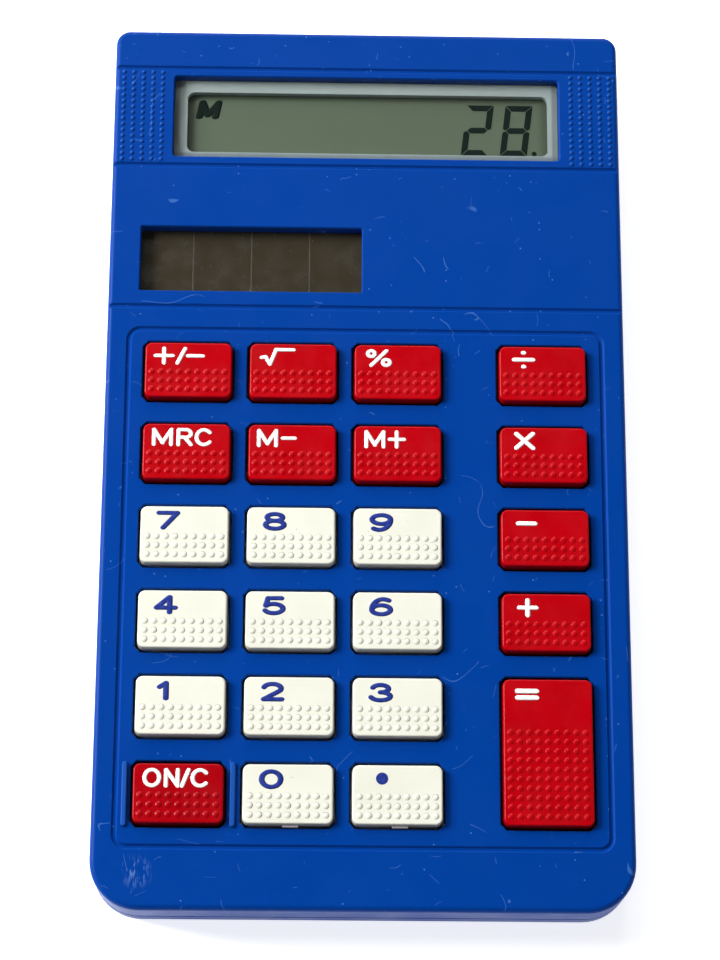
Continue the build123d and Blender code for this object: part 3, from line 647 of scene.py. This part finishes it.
film_skin = Finish("display_film", 0.3)
film_tone = film_skin.colour(film_skin.noise(14 * mm), (0.093, 0.12, 0.081), (0.105, 0.132, 0.092))
film_grain = film_skin.ramp(film_skin.noise(0.25 * mm), 0.35, 0.65, 0.0, 0.2)
film_tone = film_skin.colour(film_grain, film_tone, (0.113, 0.143, 0.1))
film_low, film_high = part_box("lcd_polariser")
film_middle = (film_low[0] + film_high[0]) / 2
# Painted shadow: the film darkens towards its left, right and display-end edges, as if shaded by the frame
# above it.
rim_x = film_skin.math(
    "SUBTRACT",
    film_skin.math("ABSOLUTE", film_skin.math("SUBTRACT", film_skin.axis("X"), film_middle), 0.0),
    (film_high[0] - film_low[0]) / 2,
)
rim_y = film_skin.math("SUBTRACT", film_skin.axis("Y"), film_high[1] + 0.35 * mm)
rim = film_skin.math("MAXIMUM", rim_x, rim_y)
film_edge_shadow = film_skin.math("MULTIPLY", film_skin.ramp(rim, -2.6 * mm, -1.0 * mm), 0.62)
film_skin.paint(film_skin.colour(film_edge_shadow, film_tone, (0.03, 0.04, 0.03)))
film_skin.roughen(film_skin.ramp(film_skin.noise(0.5 * mm), 0.3, 0.7, 0.29, 0.33))
film_skin.bump(film_skin.noise(0.15 * mm), 0.004 * mm, 0.2)
coat_node("lcd_polariser", film_skin.material)

glass_skin = Finish("display_glass", 0.12)
glass_skin.paint(glass_skin.colour(glass_skin.noise(9 * mm), (0.2, 0.25, 0.19), (0.24, 0.29, 0.22)))
glass_skin.roughen(glass_skin.ramp(glass_skin.noise(3 * mm), 0.3, 0.7, 0.08, 0.16))
coat_node("lcd_glass", glass_skin.material)

segment_skin = Finish("segment_dark", 0.45, 0.05)
segment_skin.paint(
    segment_skin.colour(segment_skin.noise(1 * mm), (0.006, 0.013, 0.011), (0.01, 0.018, 0.015))
)
segment_skin.roughen(segment_skin.ramp(segment_skin.noise(2 * mm), 0.3, 0.7, 0.4, 0.5))

# Seven-segment digits: flat bars with mitred ends, sheared to lean to the right.
film_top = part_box("lcd_polariser")[1][2]
digit_high = 7.75 * mm
digit_wide = 3.85 * mm
bar = 0.88 * mm
gap = 0.07 * mm
lean = 0.12
near, far = bar + gap, digit_wide - bar - gap
high_joint = digit_high / 2 + gap
right_top = [
    (digit_wide, digit_high - gap), (digit_wide, high_joint + 0.25 * bar), (digit_wide - bar / 2, high_joint),
    (digit_wide - bar, high_joint + bar / 2), (digit_wide - bar, digit_high - near),
]
top = [(gap, digit_high), (digit_wide - gap, digit_high), (far, digit_high - bar), (near, digit_high - bar)]
half = digit_high / 2
middle = [
    (bar / 2 + gap, half), (near, half + bar / 2), (far, half + bar / 2),
    (digit_wide - bar / 2 - gap, half), (far, half - bar / 2), (near, half - bar / 2),
]


def across(outline):
    """The outline on the digit's other side."""
    return [(digit_wide - x, y) for x, y in outline]


def below(outline):
    """The outline in the digit's other half."""
    return [(x, digit_high - y) for x, y in outline]


segments = {
    "top": top,
    "middle": middle,
    "bottom": below(top),
    "upper_left": across(right_top),
    "upper_right": right_top,
    "lower_left": across(below(right_top)),
    "lower_right": below(right_top),
}
lit = {
    "two": ["top", "upper_right", "middle", "lower_left", "bottom"],
    "eight": list(segments),
}


def digit(name, bars, corner):
    """A seven-segment digit as one mesh of flat bars, with its lower left corner there."""
    bpy.ops.object.select_all(action="DESELECT")
    bpy.ops.object.add(type="CURVE")
    piece = bpy.context.object
    piece.name = name
    shape = piece.data
    shape.dimensions = "2D"
    shape.fill_mode = "BOTH"
    shape.extrude = ink_thickness / 2
    for bar_name in bars:
        outline = segments[bar_name]
        spline = shape.splines.new("POLY")
        spline.points.add(len(outline) - 1)
        spline.use_cyclic_u = True
        for target, (x, y) in zip(spline.points, outline):
            target.co = (x + y * lean, y, 0, 1)
    bpy.ops.object.convert(target="MESH")
    piece = bpy.context.object
    piece.data.transform(Matrix.Translation(corner))
    piece.data.materials.append(segment_skin.material)
    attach(piece, "case")
    return piece


digit_foot = 44.6 * mm
segment_level = film_top + ink_thickness / 2
digit("segments_two", lit["two"], (13.35 * mm, digit_foot, segment_level))
digit("segments_eight", lit["eight"], (18.85 * mm, digit_foot, segment_level))

bpy.ops.mesh.primitive_cylinder_add(
    vertices=24, radius=0.36 * mm, depth=ink_thickness,
    location=(23.75 * mm, digit_foot + 0.38 * mm, segment_level),
)
point_segment = bpy.context.object
point_segment.name = "segment_point"
bpy.ops.object.transform_apply(location=True, rotation=True, scale=True)
soften(point_segment, ink_thickness * 0.35)
point_segment.data.materials.append(segment_skin.material)
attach(point_segment, "case")

memory = printed(
    "segment_memory",
    [("M", 0.0, 3.3 * mm)],
    0.75 * mm,
    1.4,
    (0, 0, 0),
    2.95 * mm,
    "case",
    segment_skin.material,
)
slant = Matrix.Identity(4)
slant[0][1] = 0.2
memory.data.transform(Matrix.Translation((-23.6 * mm, 52.6 * mm, film_top + 0.006 * mm)) @ slant)

# ------------------------------------------------------------------ solar cell
# Amorphous silicon on glass: dark olive-brown and glossy, in four cells parted by
# fine lines, with dust on it.
cell_skin = Finish("solar_coating", 0.18)
cell_tone = cell_skin.colour(cell_skin.noise(8 * mm), (0.028, 0.023, 0.014), (0.04, 0.033, 0.02))
cell_dust = cell_skin.math("MULTIPLY", cell_skin.dust(1.1 * mm, 0.1, 0.5), 0.5)
cell_skin.paint(cell_skin.colour(cell_dust, cell_tone, (0.2, 0.19, 0.16)))
cell_skin.roughen(cell_skin.ramp(cell_skin.noise(3 * mm), 0.3, 0.7, 0.14, 0.3))
cell_skin.bump(cell_skin.noise(0.3 * mm), 0.004 * mm, 0.2)
coat_node("solar_cell", cell_skin.material)

line_skin = Finish("cell_line", 0.35)
line_skin.paint(line_skin.colour(line_skin.noise(1 * mm), (0.042, 0.037, 0.027), (0.06, 0.053, 0.04)))
line_skin.roughen(line_skin.ramp(line_skin.noise(1 * mm), 0.3, 0.7, 0.3, 0.45))
cell_low, cell_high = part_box("solar_cell")
cell_step = (cell_high[0] - cell_low[0]) / 4
bpy.ops.mesh.primitive_cube_add(
    size=1, scale=(0.16 * mm, cell_high[1] - cell_low[1] - 0.3 * mm, 0.016 * mm)
)
line_pattern = bpy.context.object
bpy.ops.object.transform_apply(location=True, rotation=True, scale=True)
soften(line_pattern, 0.005 * mm)
line_pattern.data.materials.append(line_skin.material)
for index in (1, 2, 3):
    divider = line_pattern.copy()
    divider.data = line_pattern.data.copy()
    divider.name = f"cell_line_{index}"
    bpy.context.collection.objects.link(divider)
    divider.data.transform(
        Matrix.Translation((cell_low[0] + index * cell_step, (cell_low[1] + cell_high[1]) / 2, cell_high[2]))
    )
    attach(divider, "case")
bpy.data.objects.remove(line_pattern)

# ------------------------------------------------------------ inside the shells
# Board, chip, capacitors, leads, foam and screws: plain stock parts, each with the
# surface of its own material.


def stock(name, tone, deep, low, high, grain=1.0, metal=0.0, relief=0.01):
    """A plain material: two tones in soft blotches, an uneven sheen and a fine grain."""
    skin = Finish(name)
    skin.paint(skin.colour(skin.ramp(skin.noise(grain * mm), 0.3, 0.7), tone, deep))
    skin.roughen(skin.ramp(skin.noise(2 * grain * mm), 0.3, 0.7, low, high))
    skin.bump(skin.noise(0.15 * grain * mm), relief * mm, 0.3)
    skin.shader.inputs["Metallic"].default_value = metal
    return skin.material


rubber_finish = stock("silicone_rubber", (0.42, 0.43, 0.44), (0.36, 0.37, 0.38), 0.5, 0.65)
inner_finish = {
    "key_membrane": rubber_finish,
    "lcd_reflector": stock("reflector_film", (0.3, 0.33, 0.24), (0.26, 0.3, 0.2), 0.3, 0.4),
    "lcd_ribbon": stock("ribbon_film", (0.5, 0.3, 0.06), (0.42, 0.24, 0.05), 0.25, 0.35),
    "main_board": stock("phenolic_board", (0.4, 0.24, 0.09), (0.33, 0.19, 0.07), 0.45, 0.6),
    "key_contacts": stock("carbon_ink", (0.02, 0.02, 0.02), (0.03, 0.03, 0.03), 0.55, 0.7),
    "chip_drop": stock("epoxy_drop", (0.012, 0.012, 0.012), (0.02, 0.02, 0.02), 0.15, 0.25),
    "disc_capacitor": stock("dipped_ceramic", (0.55, 0.26, 0.06), (0.46, 0.2, 0.05), 0.25, 0.4),
    "resistor": stock("tan_lacquer", (0.5, 0.36, 0.2), (0.42, 0.3, 0.16), 0.3, 0.45),
    "diode": stock("amber_glass", (0.5, 0.12, 0.03), (0.4, 0.09, 0.02), 0.08, 0.16),
    "storage_capacitor": stock("shrink_sleeve", (0.01, 0.015, 0.07), (0.02, 0.025, 0.09), 0.2, 0.3),
    "solar_lead_red": stock("red_insulation", (0.55, 0.01, 0.01), (0.45, 0.01, 0.01), 0.35, 0.5),
    "solar_lead_black": stock("black_insulation", (0.02, 0.02, 0.02), (0.03, 0.03, 0.03), 0.35, 0.5),
}
foam_finish = stock("closed_cell_foam", (0.025, 0.025, 0.025), (0.05, 0.05, 0.05), 0.85, 0.95, 0.8, 0, 0.15)
inner_finish["lcd_foam"] = foam_finish
inner_finish["solar_foam"] = foam_finish
screw_finish = stock("zinc_steel", (0.62, 0.62, 0.6), (0.5, 0.5, 0.48), 0.25, 0.4, 1.0, 1.0)
inner_finish["case_screws"] = screw_finish
inner_finish["board_screws"] = screw_finish
for name, finish in inner_finish.items():
    coat_node(name, finish)

# ---------------------------------------------------------------- key membrane
# One moulded sheet of silicone rubber on the board. Each key stands on a hollow dome
# with a contact pip.
membrane_low, membrane_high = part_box("key_membrane")
sheet_thickness = 0.6 * mm
sheet_top = membrane_low[2] + sheet_thickness
dome_rise = membrane_high[2] - sheet_top
dome_foot = 3.5 * mm
dome_crown = 2.4 * mm
dome_wall = 0.35 * mm
dome_roof = 0.8 * mm
pip_radius = 1.5 * mm
pip_length = 0.45 * mm
post_hole = 1.6 * mm


def centre(key):
    """The middle of a key in plan."""
    low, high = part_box(key)
    return ((low[0] + high[0]) / 2, (low[1] + high[1]) / 2)


def post_between(left_key, right_key):
    """The middle of the strip between two keys."""
    (x0, y0), (x1, y1) = centre(left_key), centre(right_key)
    return ((x0 + x1) / 2, (y0 + y1) / 2)


key_names = sorted(frame["bodies"].keys() - {"case"})
bpy.ops.object.select_all(action="DESELECT")
bpy.ops.mesh.primitive_cube_add(
    size=1,
    location=(
        (membrane_low[0] + membrane_high[0]) / 2,
        (membrane_low[1] + membrane_high[1]) / 2,
        (membrane_low[2] + sheet_top) / 2,
    ),
    scale=(membrane_high[0] - membrane_low[0], membrane_high[1] - membrane_low[1], sheet_thickness),
)
membrane = bpy.context.object
membrane.name = "membrane_sheet"
bpy.ops.object.transform_apply(location=True, rotation=True, scale=True)
hand_post_y = cad_box[0][1] + 8.15 * mm
holes = [(*centre(key), dome_foot - dome_wall) for key in key_names]
holes += [(*post_between("key_memory_plus", "key_minus"), post_hole)]
holes += [(*post_between("key_6", "key_equals"), post_hole)]
holes += [(post_between("key_on_clear", "key_0")[0], hand_post_y, post_hole)]
holes += [(post_between("key_percent", "key_divide")[0], hand_post_y, post_hole)]
for x, y, radius in holes:
    bpy.ops.mesh.primitive_cylinder_add(
        vertices=40, radius=radius, depth=2 * mm, location=(x, y, sheet_top)
    )
    cutter = bpy.context.object
    bpy.ops.object.select_all(action="DESELECT")
    membrane.select_set(True)
    bpy.context.view_layer.objects.active = membrane
    cut = membrane.modifiers.new("hole", "BOOLEAN")
    cut.operation = "DIFFERENCE"
    cut.object = cutter
    bpy.ops.object.modifier_apply(modifier="hole")
    bpy.data.objects.remove(cutter)
membrane.data.materials.append(rubber_finish)
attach(membrane, "case")
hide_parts("key_membrane")

# The dome: a truncated cone, hollowed from below, with its pip left standing inside.
bpy.ops.object.select_all(action="DESELECT")
bpy.ops.mesh.primitive_cone_add(
    vertices=48, radius1=dome_foot, radius2=dome_crown, depth=dome_rise, location=(0, 0, dome_rise / 2)
)
dome = bpy.context.object
dome.name = "dome_pattern"
bpy.ops.object.transform_apply(location=True, rotation=True, scale=True)
for face in dome.data.polygons:
    face.select = face.normal.z < -0.9
bpy.ops.object.mode_set(mode="EDIT")
bpy.ops.mesh.select_mode(type="FACE")
bpy.ops.mesh.inset(thickness=dome_wall)
bpy.ops.mesh.extrude_region_move(TRANSFORM_OT_translate={"value": (0, 0, dome_rise - dome_roof)})
taper = 1 - (dome_foot - dome_crown) * (1 - dome_roof / dome_rise) / (dome_foot - dome_wall)
bpy.ops.transform.resize(value=(taper, taper, 1), center_override=(0, 0, 0))
bpy.ops.mesh.inset(thickness=(dome_foot - dome_wall) * taper - pip_radius)
bpy.ops.mesh.extrude_region_move(TRANSFORM_OT_translate={"value": (0, 0, -pip_length)})
bpy.ops.mesh.select_all(action="SELECT")
bpy.ops.mesh.normals_make_consistent(inside=False)
bpy.ops.object.mode_set(mode="OBJECT")
bpy.ops.object.shade_smooth_by_angle(angle=math.radians(35))
dome.data.materials.append(rubber_finish)
for key in key_names:
    piece = dome.copy()
    piece.data = dome.data.copy()
    piece.name = "dome_" + key[4:]
    bpy.context.collection.objects.link(piece)
    x, y = centre(key)
    piece.data.transform(Matrix.Translation((x, y, sheet_top + 0.002 * mm)))
    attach(piece, "case")
    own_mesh(piece)
bpy.data.objects.remove(dome)
